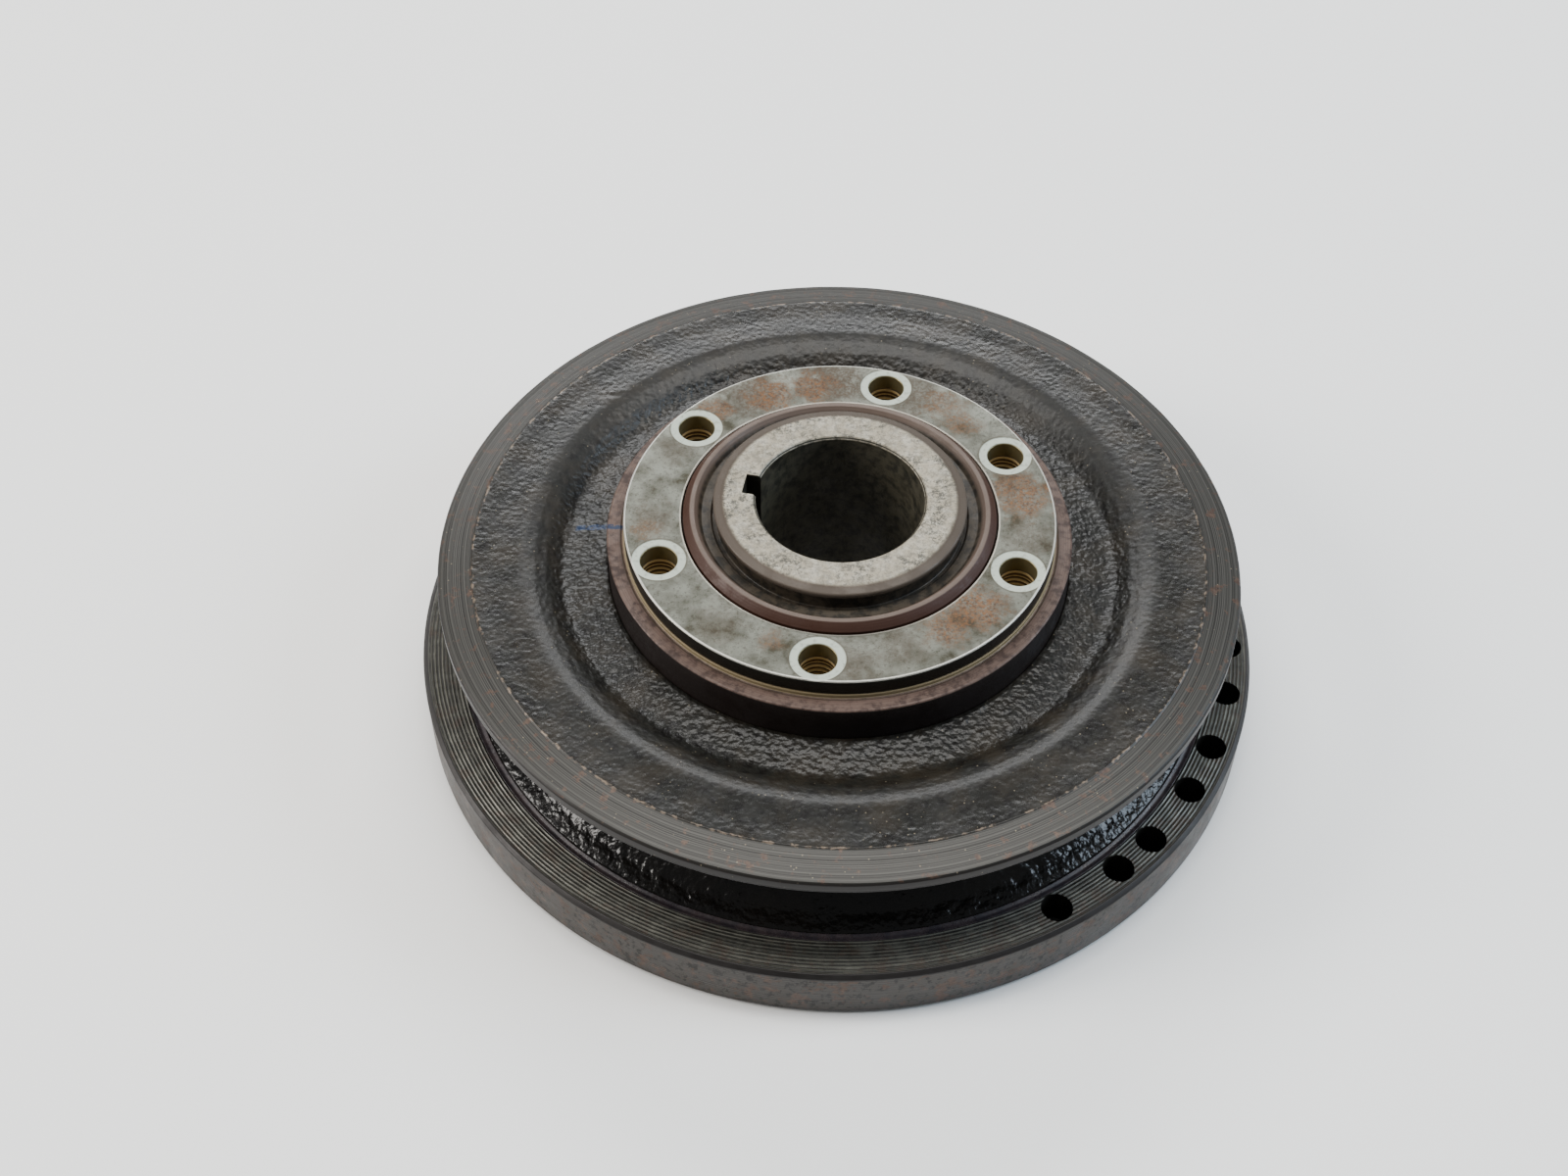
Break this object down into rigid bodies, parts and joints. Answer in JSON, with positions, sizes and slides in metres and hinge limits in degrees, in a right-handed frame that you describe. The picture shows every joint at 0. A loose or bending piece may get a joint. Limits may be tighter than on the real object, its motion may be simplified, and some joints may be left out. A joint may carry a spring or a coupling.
{
  "type": "v belt pulley",
  "caption": "Damped V-belt pulley: keyed hub, bolted-face plate, cast body with a belt groove and a rubber-bonded inertia ring.",
  "frame": {"origin": "on the pulley's axis, at the rear end of the hub sleeve", "axes": "+Z along the axis towards the front (boss and plate side); +X and +Y across, with the keyway 169 degrees round from +X"},
  "size_m": [0.165, 0.165, 0.0477],
  "materials": {
    "hub": "turned steel, brown with light rust, grainy grey boss face",
    "flange_plate": "ground bright steel with orange rust stains",
    "pulley_casting": "black rough casting, oily, turned band at the rim",
    "damper_rubber": "smooth black rubber, oily",
    "inertia_ring": "turned grey iron with fine ridges and light rust"
  },
  "bodies": {
    "pulley": {"hub": "hub", "flange_plate": "flange_plate", "pulley_casting": "pulley_casting"},
    "rubber": {"damper_rubber": "damper_rubber"},
    "ring": {"inertia_ring": "inertia_ring"}
  },
  "joints": [
    {"name": "damper_twist", "type": "hinge", "parent": "pulley", "child": "ring", "pos_m": [0, 0, 0.006], "axis": [0, 0, 1], "range_deg": [-1, 1], "stiffness_Nm_per_rad": 60},
    {"name": "rubber_shear", "type": "hinge", "parent": "pulley", "child": "rubber", "pos_m": [0, 0, 0.006], "axis": [0, 0, 1], "range_deg": [-0.5, 0.5]}
  ],
  "couplings": [
    {"joint": "rubber_shear", "follows": "damper_twist", "ratio": 0.5}
  ]
}
